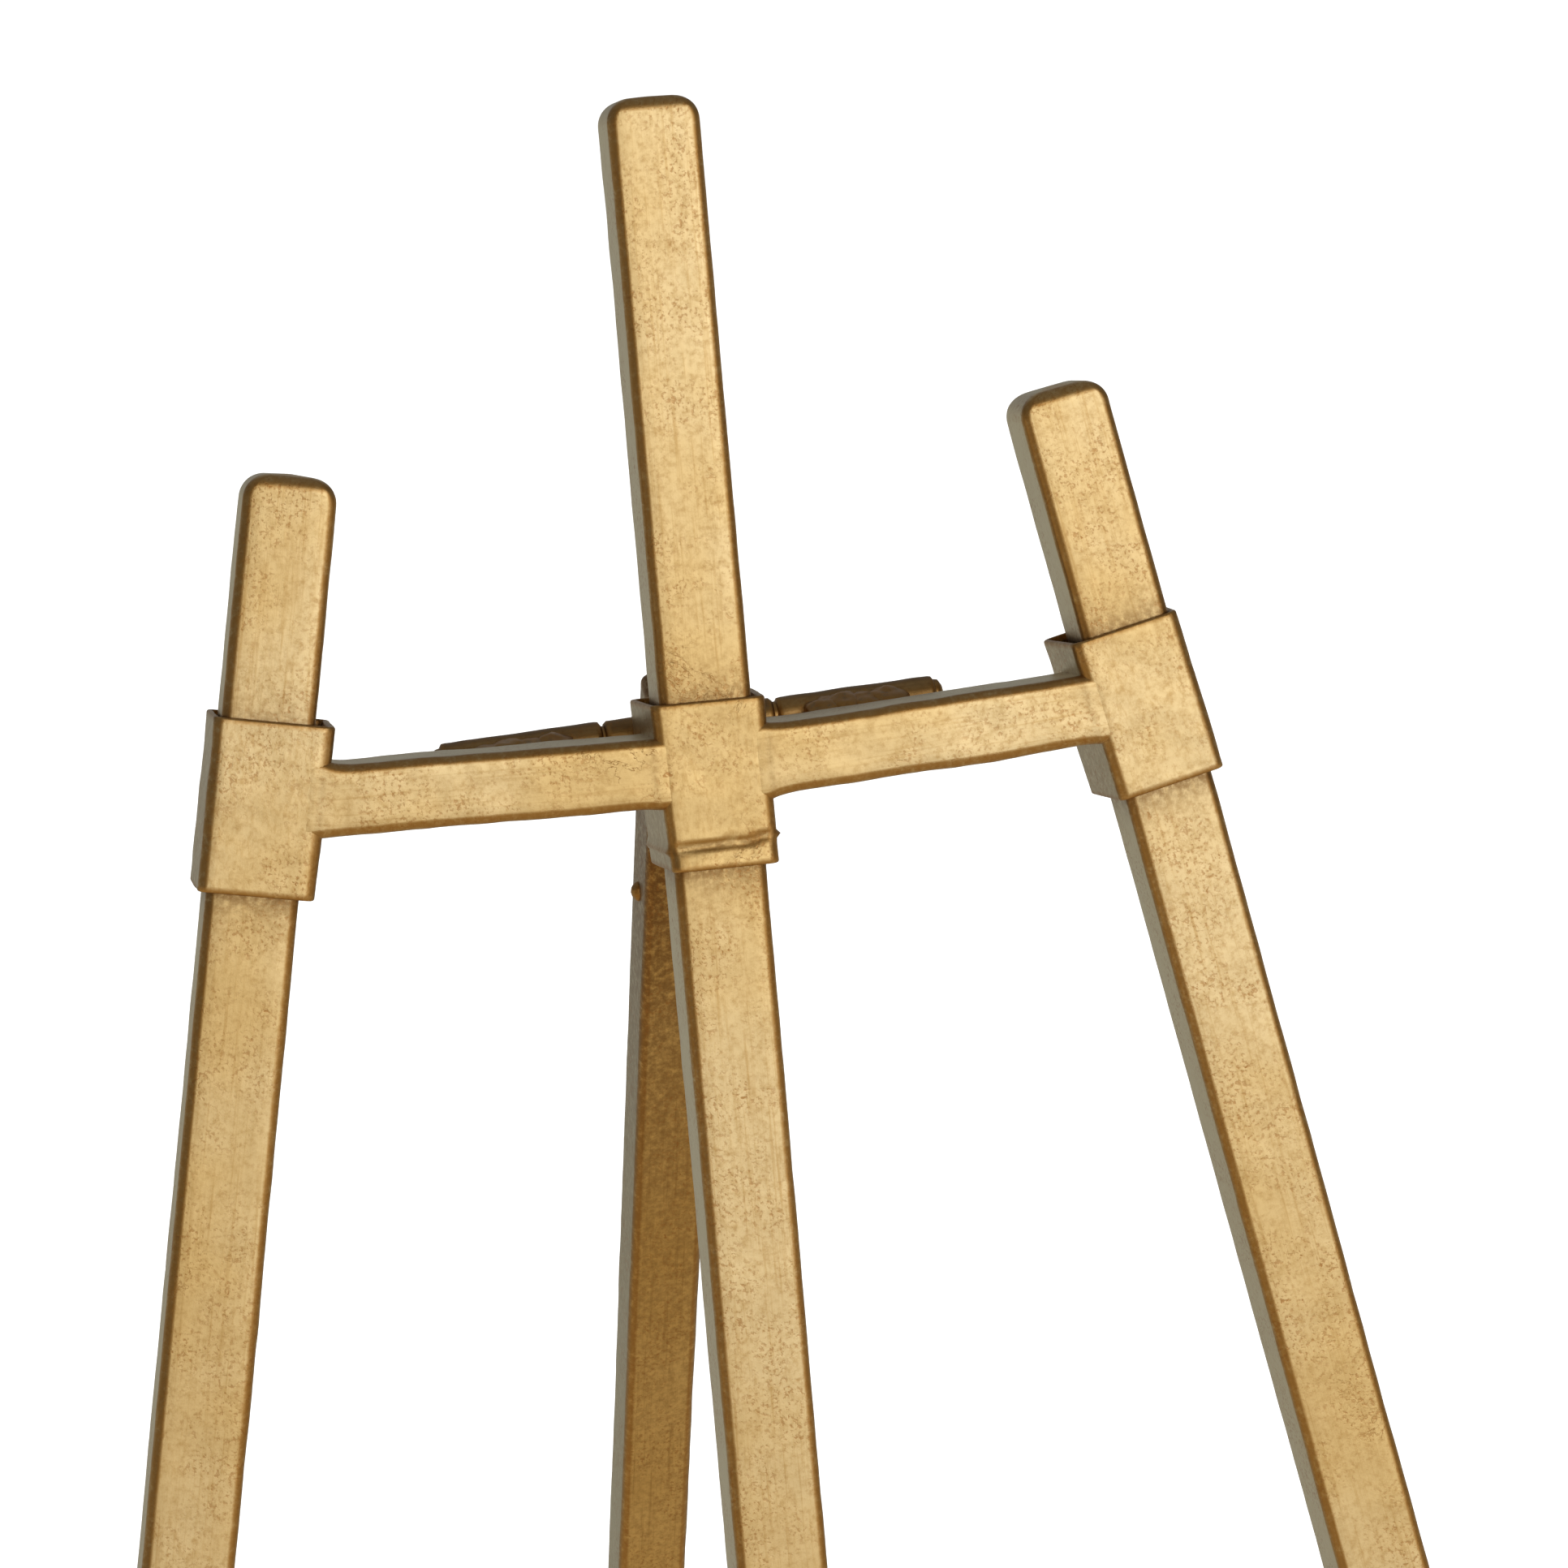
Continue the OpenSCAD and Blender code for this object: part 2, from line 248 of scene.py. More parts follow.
# ---------------------------------------------------------------- materials
def noise_node(nodes, links, coords, scale, detail=4.0, roughness=0.55, distortion=0.0):
    node = nodes.new("ShaderNodeTexNoise")
    node.inputs["Scale"].default_value = scale
    node.inputs["Detail"].default_value = detail
    node.inputs["Roughness"].default_value = roughness
    node.inputs["Distortion"].default_value = distortion
    links.new(coords, node.inputs["Vector"])
    return node.outputs["Fac"]


def ramp(nodes, links, value, low, high):
    """Smooth step of a value between two limits, from 0 to 1."""
    node = nodes.new("ShaderNodeMapRange")
    node.interpolation_type = "SMOOTHSTEP"
    node.inputs["From Min"].default_value = low
    node.inputs["From Max"].default_value = high
    links.new(value, node.inputs["Value"])
    return node.outputs["Result"]


def math_node(nodes, links, operation, a, b, clamp=True):
    """Result of a sum on two values. Products, sums and differences stay between 0 and 1 if clamp is on."""
    node = nodes.new("ShaderNodeMath")
    node.operation = operation
    node.use_clamp = clamp and operation in ("MULTIPLY", "ADD", "SUBTRACT")
    for socket, value in zip(node.inputs, (a, b)):
        if isinstance(value, (int, float)):
            socket.default_value = value
        else:
            links.new(value, socket)
    return node.outputs["Value"]


def blend_colour(nodes, links, factor, a, b):
    node = nodes.new("ShaderNodeMix")
    node.data_type = "RGBA"
    links.new(factor, node.inputs["Factor"])
    for socket, value in ((node.inputs[6], a), (node.inputs[7], b)):
        if isinstance(value, tuple):
            socket.default_value = (*value, 1)
        else:
            links.new(value, socket)
    return node.outputs[2]


def attribute(nodes, name, socket):
    node = nodes.new("ShaderNodeAttribute")
    node.attribute_name = name
    return node.outputs[socket]


def gold_material(name, light, dark, patina, painted_sheen_colour, marks_amount, roughness):
    """Antique gold finish: fine mottling, brush lines, brown freckles, brown round corners of patina and
    painted shade, a painted sheen on the side faces, and dark brown beside the welds that is soot in places
    and painted shade in others."""
    material = bpy.data.materials.new(name)
    material.use_nodes = True
    nodes, links = material.node_tree.nodes, material.node_tree.links
    shader = nodes["Principled BSDF"]

    def smooth(value, low, high):
        return ramp(nodes, links, value, low, high)

    def combine(operation, a, b, clamp=True):
        return math_node(nodes, links, operation, a, b, clamp)

    coords = nodes.new("ShaderNodeTexCoord").outputs["Object"]
    stretch = nodes.new("ShaderNodeMapping")
    stretch.inputs["Scale"].default_value = (1300, 1300, 40)
    links.new(attribute(nodes, "grain", "Vector"), stretch.inputs["Vector"])

    cloud = noise_node(nodes, links, coords, 16, 3, 0.6)
    blush = noise_node(nodes, links, coords, 75, 3, 0.6)
    mottle = noise_node(nodes, links, coords, 620, 6, 0.7)
    fine = noise_node(nodes, links, coords, 1300, 3, 0.6)
    dots = noise_node(nodes, links, coords, 480, 3, 0.5, 0.6)
    crack = noise_node(nodes, links, coords, 150, 6, 0.6, 1.2)
    brush = noise_node(nodes, links, stretch.outputs["Vector"], 1, 4, 0.65)

    base = blend_colour(nodes, links, smooth(cloud, 0.35, 0.68), light, dark)
    base = blend_colour(nodes, links, combine("MULTIPLY", smooth(mottle, 0.42, 0.8), 0.75), base, patina)
    base = blend_colour(nodes, links, combine("MULTIPLY", smooth(brush, 0.48, 0.8), 0.7), base, patina)
    # Painted sheen: faces turned sideways take a duller colour that stands in for the grey light they reflect.
    painted_side_sheen = combine("MULTIPLY", attribute(nodes, "painted_side_sheen", "Fac"), 0.85)
    base = blend_colour(nodes, links, painted_side_sheen, base, painted_sheen_colour)
    # Round edges turn brown: patina, and painted shade for the dark surroundings they reflect.
    edge_patina_and_shade = combine("MULTIPLY", attribute(nodes, "edge", "Fac"), smooth(mottle, 0.1, 0.55))
    base = blend_colour(nodes, links, combine("MULTIPLY", edge_patina_and_shade, 0.85), base, EDGE_PATINA_AND_SHADE_BROWN)
    # Dark brown beside the welds: soot, and painted shade inside the collars, on their side walls, in their
    # creases and at the rear leg's head.
    shaded_and_sooted = combine("MULTIPLY", attribute(nodes, "painted_shade_and_soot", "Fac"), smooth(mottle, 0.2, 0.6))
    base = blend_colour(nodes, links, combine("MULTIPLY", shaded_and_sooted, 0.9), base, SHADE_AND_SOOT_BROWN)

    freckles = combine("MULTIPLY", smooth(fine, 0.5, 0.66), smooth(blush, 0.34, 0.62))
    pits = combine("MULTIPLY", smooth(dots, 0.68, 0.74), smooth(blush, 0.4, 0.55))
    off_centre = combine("ABSOLUTE", combine("SUBTRACT", crack, 0.5, clamp=False), 0)
    hairline = combine("SUBTRACT", 1, smooth(off_centre, 0.002, 0.009))
    cracks = combine("MULTIPLY", hairline, smooth(cloud, 0.63, 0.68))
    marks = combine("MAXIMUM", combine("MULTIPLY", freckles, 0.8), combine("MAXIMUM", pits, cracks))
    marks = combine("MULTIPLY", marks, marks_amount)
    colour = blend_colour(nodes, links, marks, base, MARK_BROWN)
    links.new(colour, shader.inputs["Base Color"])

    rough = nodes.new("ShaderNodeMapRange")
    rough.inputs["To Min"].default_value = roughness - 0.06
    rough.inputs["To Max"].default_value = roughness + 0.12
    links.new(mottle, rough.inputs["Value"])
    links.new(rough.outputs["Result"], shader.inputs["Roughness"])
    shader.inputs["Metallic"].default_value = 1.0

    heights = combine("ADD", combine("MULTIPLY", mottle, 0.45), combine("MULTIPLY", brush, 0.2))
    heights = combine("SUBTRACT", heights, combine("MULTIPLY", marks, 0.3))
    bump = nodes.new("ShaderNodeBump")
    bump.inputs["Strength"].default_value = 0.4
    bump.inputs["Distance"].default_value = 0.2 * MM
    links.new(heights, bump.inputs["Height"])
    links.new(bump.outputs["Normal"], shader.inputs["Normal"])
    return material


def rubber_material():
    """Matt black moulded rubber with a faint grain."""
    material = bpy.data.materials.new("foot_rubber")
    material.use_nodes = True
    nodes, links = material.node_tree.nodes, material.node_tree.links
    shader = nodes["Principled BSDF"]
    coords = nodes.new("ShaderNodeTexCoord").outputs["Object"]
    grain = noise_node(nodes, links, coords, 900, 4)
    dust = noise_node(nodes, links, coords, 60, 4)
    dusty = ramp(nodes, links, dust, 0.45, 0.8)
    colour = blend_colour(nodes, links, dusty, (0.018, 0.018, 0.02), (0.06, 0.057, 0.052))
    links.new(colour, shader.inputs["Base Color"])
    shader.inputs["Roughness"].default_value = 0.62
    bump = nodes.new("ShaderNodeBump")
    bump.inputs["Strength"].default_value = 0.3
    bump.inputs["Distance"].default_value = 0.2 * MM
    links.new(grain, bump.inputs["Height"])
    links.new(bump.outputs["Normal"], shader.inputs["Normal"])
    return material


# Brown of the round edges, patina and painted shade.
EDGE_PATINA_AND_SHADE_BROWN = (0.46, 0.24, 0.065)
# Dark brown of soot and of painted shade.
SHADE_AND_SOOT_BROWN = (0.2, 0.1, 0.035)
MARK_BROWN = (0.42, 0.2, 0.06)
GOLD = gold_material("antique_gold", (0.79, 0.61, 0.33), (0.73, 0.52, 0.23), (0.55, 0.34, 0.12),
                     (0.72, 0.65, 0.47), 0.8, 0.33)
# Painted light: the rear leg's copy of the gold is more orange, standing in for the warm light it reflects
# from the front frame and the floor.
PAINTED_WARM_REAR_GOLD = gold_material("antique_gold_rear_painted_warm", (0.84, 0.59, 0.25), (0.74, 0.49, 0.18), (0.44, 0.26, 0.09),
                          (0.6, 0.57, 0.43), 0.8, 0.36)
HINGE_METAL = gold_material("hinge_metal", (0.6, 0.4, 0.17), (0.24, 0.15, 0.07), (0.12, 0.07, 0.035),
                            (0.14, 0.1, 0.06), 0.9, 0.34)
RUBBER = rubber_material()


# ---------------------------------------------------------------- front legs
def collar_lift(side):
    """How far an upper collar's middle lies above the leg's origin, along the leg."""
    return BAR_MID_Z + RISE[side] - 1 * MM if side else 0


def build_leg(name, side, bottom, nodes, seed):
    """Square tube with a welded, rounded cap, from its lower end to its top."""
    at = at_leg(side)
    half = LEG_W / 2
    side_round, face_round = 5.2 * MM, 2.8 * MM
    top = TOPS[side]
    lift = collar_lift(side)
    stations = []
    for z in spaced(bottom, top - side_round, 2.5 * MM):
        # The skin turns dark brown within a few millimetres of each collar.
        gaps = [abs(z - lift) - COLLAR_H / 2, abs(z + LOWER_DROP) - COLLAR_H / 2]
        painted_shade_and_soot = math.exp(-max(0.0, min(gaps)) / (3 * MM))
        stations.append((at @ shift(0, 0, z), rounded_ring(half, half, LEG_CORNER), painted_shade_and_soot))
    stations += dome_stations(at, top, half, side_round, face_round)
    bm = bmesh.new()
    loft(bm, stations, seed)
    return finish_mesh(name, bm, FRONT, nodes, GOLD)


OUTER_END = TUBE_STOP - floor_distance(at_leg(1))
build_leg("left_leg_tube", -1, OUTER_END, ["left_leg", "left_leg_cap"], 1)
build_leg("right_leg_tube", 1, OUTER_END, ["right_leg", "right_leg_cap"], 2)
build_leg("centre_leg_tube", 0, -LOWER_DROP - CENTRE_TAIL,
          ["centre_leg", "centre_leg_cap", "centre_leg_plug"], 3)


# ---------------------------------------------------------------- collars
def build_collar(name, at, node, seed, flares=(1.2 * MM, 1.2 * MM), slack=(0, 0, 0, 0),
                 lip=0.0, extra=0.0):
    """Bent sheet wrapped round a leg. flares widen its back at the left and right. slack moves its left
    side at the bottom and top and its right side at the bottom and top. lip bends its lower front edge,
    and extra raises its upper edge."""
    half_w, half_d = (COLLAR_W - COLLAR_T) / 2, (COLLAR_D - COLLAR_T) / 2
    path = rounded_ring(half_w, half_d, 1.5 * MM, corner_steps=5, flat_steps=14)
    half_h, half_t = COLLAR_H / 2, COLLAR_T / 2
    edge = 0.45 * MM
    sheet = [(half_t, z) for z in spaced(-half_h + edge, half_h - edge, 0.9 * MM)]
    sheet += [(half_t - edge * 0.3, half_h - edge * 0.3), (half_t - edge, half_h), (edge - half_t, half_h),
              (edge * 0.3 - half_t, half_h - edge * 0.3)]
    sheet += [(-half_t, z) for z in spaced(half_h - edge, -half_h + edge, 0.9 * MM)]
    sheet += [(edge * 0.3 - half_t, edge * 0.3 - half_h), (edge - half_t, -half_h), (half_t - edge, -half_h),
              (half_t - edge * 0.3, edge * 0.3 - half_h)]
    bm = bmesh.new()
    grain = bm.verts.layers.float_vector.new("grain")
    painted_side_sheen = bm.verts.layers.float.new("painted_side_sheen")
    painted_shade_and_soot = bm.verts.layers.float.new("painted_shade_and_soot")
    rows = []
    for p, n in path:
        row = []
        for out, z in sheet:
            x, y = p.x + n.x * out, p.y + n.y * out
            back = (y + half_d) / (2 * half_d)
            side_share = x / half_w
            height_share = z / COLLAR_H + 0.5
            if side_share > 0:
                x += side_share * (flares[1] * back + slack[2] + (slack[3] - slack[2]) * height_share)
            else:
                x -= side_share * (slack[0] + (slack[1] - slack[0]) * height_share - flares[0] * back)
            front = max(0.0, -n.y)
            ragged = 0.7 * MM * noise.noise(Vector((x * 260, seed, 3)))
            crease_z = -half_h + 5 * MM + 0.6 * MM * (x / half_w) + ragged
            crease = math.exp(-((z - crease_z) / (0.5 * MM)) ** 2)
            below = max(0.0, min(1.0, (crease_z - z) / (4 * MM)))
            push = lip * (front * (0.45 * below - 0.5 * crease) + 0.7 * abs(n.x) * crease)
            raised = z + extra * height_share
            world = at @ Vector((x + n.x * push, COLLAR_MID_Y + y + n.y * push, raised))
            outward = (at.to_3x3() @ Vector((n.x, n.y, 0))).normalized()
            vert = bm.verts.new(world + outward * wobble(world, seed, 0.16 * MM, 0.25 * MM))
            vert[grain] = (x, y, z * 9)
            vert[painted_side_sheen] = painted_side_sheen_share(n.x)
            # Painted shade: the sheet's inner face, its side walls and the front crease of a lipped collar
            # turn dark brown where shade falls.
            vert[painted_shade_and_soot] = 1.0 if out < 0 else 0.45 * painted_side_sheen_share(n.x) + 0.8 * (lip > 0) * front * crease
            row.append(vert)
        rows.append(row)
    for k, row in enumerate(rows):
        following = rows[(k + 1) % len(rows)]
        for j in range(len(row)):
            i = (j + 1) % len(row)
            bm.faces.new((row[j], row[i], following[i], following[j]))
    return finish_mesh(name, bm, FRONT, [node], GOLD)


def at_upper(side):
    return at_leg(side) @ shift(0, 0, collar_lift(side)) @ turn(-RIGHT_COLLAR_TURN if side > 0 else 0, "Y")


def at_lower(side):
    return at_leg(side) @ shift(0, 0, -LOWER_DROP / math.cos(math.radians(FAN if side else 0)))


SIDE_NAMES = {-1: "left", 0: "centre", 1: "right"}
# Collars and bars share one seed, so that their unevenness runs on across the welds.
WELDED_SEED = 12
UPPER_FLARES = {-1: (0.4 * MM, 0.6 * MM), 0: (1.2 * MM, 1.2 * MM), 1: (1.2 * MM, 1.2 * MM)}
UPPER_SLACK = {
    -1: (0.3 * MM, 0.4 * MM, 0.9 * MM, 1.8 * MM),
    0: (1.3 * MM, -0.2 * MM, 0.6 * MM, 0.6 * MM),
    1: (0, 0, 0, 0),
}
UPPER_LIP = {-1: 0.0, 0: 1.3 * MM, 1: 0.0}
UPPER_EXTRA = {-1: 1.7 * MM, 0: 0.6 * MM, 1: 0.3 * MM}
for side_number, side_name in SIDE_NAMES.items():
    build_collar(f"upper_{side_name}_collar_sheet", at_upper(side_number), f"upper_{side_name}_collar",
                 WELDED_SEED, UPPER_FLARES[side_number], UPPER_SLACK[side_number], UPPER_LIP[side_number],
                 UPPER_EXTRA[side_number])
    build_collar(f"lower_{side_name}_collar_sheet", at_lower(side_number), f"lower_{side_name}_collar",
                 WELDED_SEED)


# ---------------------------------------------------------------- crossbars
# How far a bar's end runs into a collar.
WELD_REACH = 5 * MM


def build_bar(name, side, mid_z, rise, spread, node, seed, fillets):
    """Half crossbar welded between two collars, with small fillets of weld at its ends.
    spread is the outer leg's distance from the centre leg at the bar's height, and fillets are the weld
    heights at its inner top, outer top, inner bottom and outer bottom."""
    inner = COLLAR_W / 2 - WELD_REACH
    outer = spread - inner / math.cos(math.radians(FAN))
    stations = []
    for x in spaced(inner, outer, 1.1 * MM):
        z = mid_z + rise * x / spread
        outer_gap = max(0.0, outer - x - WELD_REACH)
        inner_gap = max(0.0, x - inner - WELD_REACH)
        inner_fade, outer_fade = math.exp(-inner_gap / (2 * MM)), math.exp(-outer_gap / (2.4 * MM))
        top = fillets[0] * inner_fade + fillets[1] * outer_fade
        bottom = fillets[2] * inner_fade + fillets[3] * outer_fade
        top += 0.35 * MM * noise.noise(Vector((x * 45, seed, 0)))
        bottom += 0.45 * MM * noise.noise(Vector((x * 45, seed, 7)))
        half_h = (BAR_H + top + bottom) / 2
        buried = max(0.0, 1 - min(outer - x, x - inner) / (4.4 * MM))
        y = BAR_MID_Y - 0.03 * MM + 0.7 * MM * buried ** 3
        at = AT_FRAME @ shift(side * x, y, z + (top - bottom) / 2) @ turn(-side * 90, "Y")
        slant = -side * FAN * (x - inner) / (outer - inner)
        gap = min(outer_gap, inner_gap)
        # The skin turns dark brown just outside each collar.
        painted_shade_and_soot = 0.5 * math.exp(-gap / (0.8 * MM)) * (gap > 0)
        stations.append((at @ turn(slant, "Y"), rounded_ring(half_h, BAR_D / 2, BAR_CORNER), painted_shade_and_soot))
    bm = bmesh.new()
    loft(bm, stations, WELDED_SEED, fine=0.16 * MM, coarse=0.25 * MM)
    return finish_mesh(name, bm, FRONT, [node], GOLD)


UPPER_FILLETS = {-1: (0.2 * MM, 1.9 * MM, 0.5 * MM, 0.3 * MM), 1: (0.7 * MM, 0.2 * MM, 1.0 * MM, 0.5 * MM)}
LOWER_FILLETS = (0.5 * MM,) * 4
LOWER_SPREAD = LEG_SPREAD + LOWER_DROP * math.tan(math.radians(FAN))
for side_number in (-1, 1):
    side_name = SIDE_NAMES[side_number]
    upper_spread = LEG_SPREAD - (BAR_MID_Z + RISE[side_number]) * math.tan(math.radians(FAN))
    build_bar(f"upper_{side_name}_bar_tube", side_number, BAR_MID_Z, RISE[side_number], upper_spread,
              f"upper_{side_name}_bar", 31 + side_number, UPPER_FILLETS[side_number])
    build_bar(f"lower_{side_name}_bar_tube", side_number, -LOWER_DROP, 0, LOWER_SPREAD,
              f"lower_{side_name}_bar", 41 + side_number, LOWER_FILLETS)


# ---------------------------------------------------------------- picture rests
def rest_path():
    """Points and directions along a rest's middle line: x forward and z up, from the crossbar's face."""
    r = REST_BEND + REST_T / 2
    low = -BAR_H / 2 + REST_T / 2
    start, reach = REST_T / 2, REST_REACH - REST_T / 2
    points = [((start, z), -90) for z in spaced(BAR_H / 2, low + r, 2 * MM)]
    for degrees in range(10, 100, 10):
        sine, cosine = math.sin(math.radians(degrees)), math.cos(math.radians(degrees))
        points.append(((start + r - r * cosine, low + r - r * sine), degrees - 90))
    points += [((x, low), 0) for x in spaced(start + r, reach - r, 2.5 * MM)[1:]]
    for degrees in range(10, 100, 10):
        sine, cosine = math.sin(math.radians(degrees)), math.cos(math.radians(degrees))
        points.append(((reach - r + r * sine, low + r - r * cosine), degrees))
    points += [((reach, z), 90) for z in spaced(low + r, low + REST_TIP + REST_T / 2, 2 * MM)[1:]]
    return points


def build_rest(name, side, node, seed):
    """Bent flat bar with rounded edges and a rounded tip."""
    stations = []
    path = rest_path()
    for index, ((forward, z), angle) in enumerate(path):
        to_end = min(index, len(path) - 1 - index)
        shrink = (0.45, 0.15, 0.03)[to_end] if to_end < 3 else 0.0
        middle = shift(side * REST_X, FACE_Y - forward, z - LOWER_DROP)
        at = AT_FRAME @ middle @ turn(-angle, "X") @ turn(90, "X")
        stations.append((at, rounded_ring(REST_W / 2 * (1 - shrink * 0.3), REST_T / 2 * (1 - shrink), 1.1 * MM,
                                          corner_steps=4, flat_steps=5)))
    bm = bmesh.new()
    loft(bm, stations, seed, fine=0.1 * MM, coarse=0.2 * MM)
    return finish_mesh(name, bm, FRONT, [node], GOLD)


build_rest("left_picture_rest", -1, "left_rest", 51)
build_rest("right_picture_rest", 1, "right_rest", 52)


# ---------------------------------------------------------------- hinge
def round_bar(bm, at, x0, x1, radius, seed, rounding=1.2 * MM):
    """Barrel along local X with rounded ends."""
    stations = []
    for x in spaced(x0, x1, 0.7 * MM):
        gap = min(x - x0, x1 - x)
        inset = 0.0
        if gap < rounding:
            inset = rounding - math.sqrt(max(rounding ** 2 - (rounding - gap) ** 2, 0))
        stations.append((at @ shift(x, 0, 0) @ turn(90, "Y"), round_ring(radius - inset)))
    loft(bm, stations, seed, fine=0.15 * MM, coarse=0.1 * MM)


def hinge_point(x, y, z):
    return AT_HINGE @ Vector((x, y, z))


def build_barrel(side):
    """Outer barrel with the lump of weld that joins it to the back of the crossbar."""
    side_name = SIDE_NAMES[side]
    ends = sorted((side * (KNUCKLE_HALF + HINGE_GAP), side * HINGE_HALF))
    bm = bmesh.new()
    round_bar(bm, AT_HINGE, ends[0], ends[1], BARREL_R, 61 + side)
    finish_mesh(f"{side_name}_barrel_tube", bm, FRONT, [f"{side_name}_barrel"], HINGE_METAL)
    middle = side * (KNUCKLE_HALF + HINGE_HALF) / 2
    bm = bmesh.new()
    for k, offset in enumerate((-7, -3, 1.5, 6)):
        centre = hinge_point(middle + offset * MM, -6.3 * MM + 0.5 * MM * (k % 2), -0.5 * MM)
        blob(bm, centre, (5.2 * MM, 6.4 * MM, (3.2 + 0.4 * (k % 2)) * MM), 71 + side * 3 + k)
    finish_mesh(f"{side_name}_hinge_weld", bm, FRONT, [f"{side_name}_hinge_tab"], HINGE_METAL)


build_barrel(-1)
build_barrel(1)

pin_bm = bmesh.new()
round_bar(pin_bm, AT_HINGE, -HINGE_HALF - 1.4 * MM, HINGE_HALF + 1.4 * MM, 3.1 * MM, 65, rounding=1.3 * MM)
finish_mesh("hinge_pin_rod", pin_bm, FRONT, ["hinge_pin"], HINGE_METAL)

knuckle_bm = bmesh.new()
round_bar(knuckle_bm, AT_REAR, -KNUCKLE_HALF, KNUCKLE_HALF, BARREL_R, 66, rounding=0.6 * MM)
for side_number in (-1, 1):
    for x, y, z in ((7.6, 2.6, 4.0), (9.4, 1.8, 1.8), (11.2, 0.8, -0.4)):
        spot = AT_REAR @ Vector((side_number * x * MM, y * MM, z * MM))
        blob(knuckle_bm, spot, (2.8 * MM, 2.8 * MM, 2.8 * MM), 81 + x + side_number)
finish_mesh("hinge_knuckle_tube", knuckle_bm, REAR, ["hinge_knuckle"], HINGE_METAL)


# ---------------------------------------------------------------- rear leg
def build_rear_leg():
    """Narrow square tube with a rounded head over the knuckle."""
    half = REAR_W / 2
    head, r_front, r_back = 5 * MM, 5 * MM, 2.5 * MM
    bottom = TUBE_STOP - floor_distance(AT_REAR_AXIS)
    # Painted shade: the rear leg turns dark brown towards its head, where the hinge and the crossbar shade it.
    stations = [(AT_REAR_AXIS @ shift(0, 0, z), rounded_ring(half, half, LEG_CORNER),
                 min(1.0, 1.5 * math.exp(-(head - z) / (110 * MM))))
                for z in spaced(bottom, head - r_front, 3 * MM)]
    for k in range(1, 11):
        angle = math.radians(90 * k / 10)
        front = half - r_front * (1 - math.cos(angle))
        z = head - r_front + r_front * math.sin(angle)
        over = max(0.0, z - (head - r_back)) / r_back
        trim = r_back * (1 - math.sqrt(max(0.0, 1 - over ** 2)))
        half_y = (front + half - trim) / 2
        ring = rounded_ring(half - trim, half_y, LEG_CORNER)
        stations.append((AT_REAR_AXIS @ shift(0, (half - trim - front) / 2, z), ring, 1.0))
    for k in (0.7, 0.35, 0.1):
        stations.append((AT_REAR_AXIS @ shift(0, 1.5 * MM, head + (1 - k) * 0.4 * MM),
                         rounded_ring((half - r_back) * k, 4 * MM * k, LEG_CORNER * k)))
    bm = bmesh.new()
    loft(bm, stations, 91)
    finish_mesh("rear_leg_tube", bm, REAR, ["rear_leg", "rear_leg_cap"], PAINTED_WARM_REAR_GOLD)


build_rear_leg()
stud_bm = bmesh.new()
blob(stud_bm, AT_REAR_AXIS @ Vector((-REAR_W / 2, 0, -STUD_DROP)), (1.7 * MM, 2.0 * MM, 2.1 * MM), 95, 0.08)
finish_mesh("rear_leg_stud_head", stud_bm, REAR, ["rear_leg_stud"], HINGE_METAL)


# ---------------------------------------------------------------- feet
def build_foot(name, at, width, body, node, seed):
    """Rubber boot round a tube's end. Its base is cut flat by the floor, with a rounded edge."""
    half = width / 2 + FOOT_T
    floor = floor_distance(at)
    down = at.to_3x3() @ Vector((0, 0, -1))
    top = FOOT_H - floor
    bead = 1.0 * MM
    corner = LEG_CORNER + 1 * MM
    mouth = width / 2 - 0.2 * MM
    bm = bmesh.new()
    grain = bm.verts.layers.float_vector.new("grain")
    rows = []

    def add_row(ring, place):
        row = []
        for p, n in ring:
            co = place(p)
            vert = bm.verts.new(co)
            vert[grain] = (p.x, p.y, co.z)
            row.append(vert)
        rows.append(row)

    add_row(rounded_ring(mouth, mouth, LEG_CORNER), lambda p: at @ Vector((p.x, p.y, top)))
    for k in range(5):
        angle = math.radians(90 * k / 4)
        size = half - bead * (1 - math.sin(angle))
        rim = top - bead * (1 - math.cos(angle))
        add_row(rounded_ring(size, size, corner), lambda p: at @ Vector((p.x, p.y, rim)))
    for z in spaced(top - bead - 1 * MM, top - 17 * MM, 2 * MM):
        waist = 0.5 * MM * math.exp(-((z - top + 4 * MM) / (1.2 * MM)) ** 2)
        add_row(rounded_ring(half - waist, half - waist, corner), lambda p: at @ Vector((p.x, p.y, z)))

    def on_height(height):
        def place(p):
            start = at @ Vector((p.x, p.y, 0))
            return start + down * ((height - start.z) / down.z)
        return place

    for k in range(5):
        angle = math.radians(90 * k / 4)
        size = half - bead * (1 - math.cos(angle))
        add_row(rounded_ring(size, size, corner), on_height(bead * (1 - math.sin(angle))))
    for share in (0.66, 0.33, 0.08):
        add_row(rounded_ring(half * share, half * share, LEG_CORNER * share), on_height(0.0))
    for low, high in zip(rows, rows[1:]):
        for k in range(len(low)):
            j = (k + 1) % len(low)
            bm.faces.new((low[k], low[j], high[j], high[k]))
    bm.faces.new(rows[0])
    bm.faces.new(rows[-1])
    return finish_mesh(name, bm, body, [node], RUBBER)


build_foot("left_rubber_foot", at_leg(-1), LEG_W, FRONT, "left_foot", 1)
build_foot("right_rubber_foot", at_leg(1), LEG_W, FRONT, "right_foot", 2)
build_foot("rear_rubber_foot", AT_REAR_AXIS, REAR_W, REAR, "rear_foot", 3)


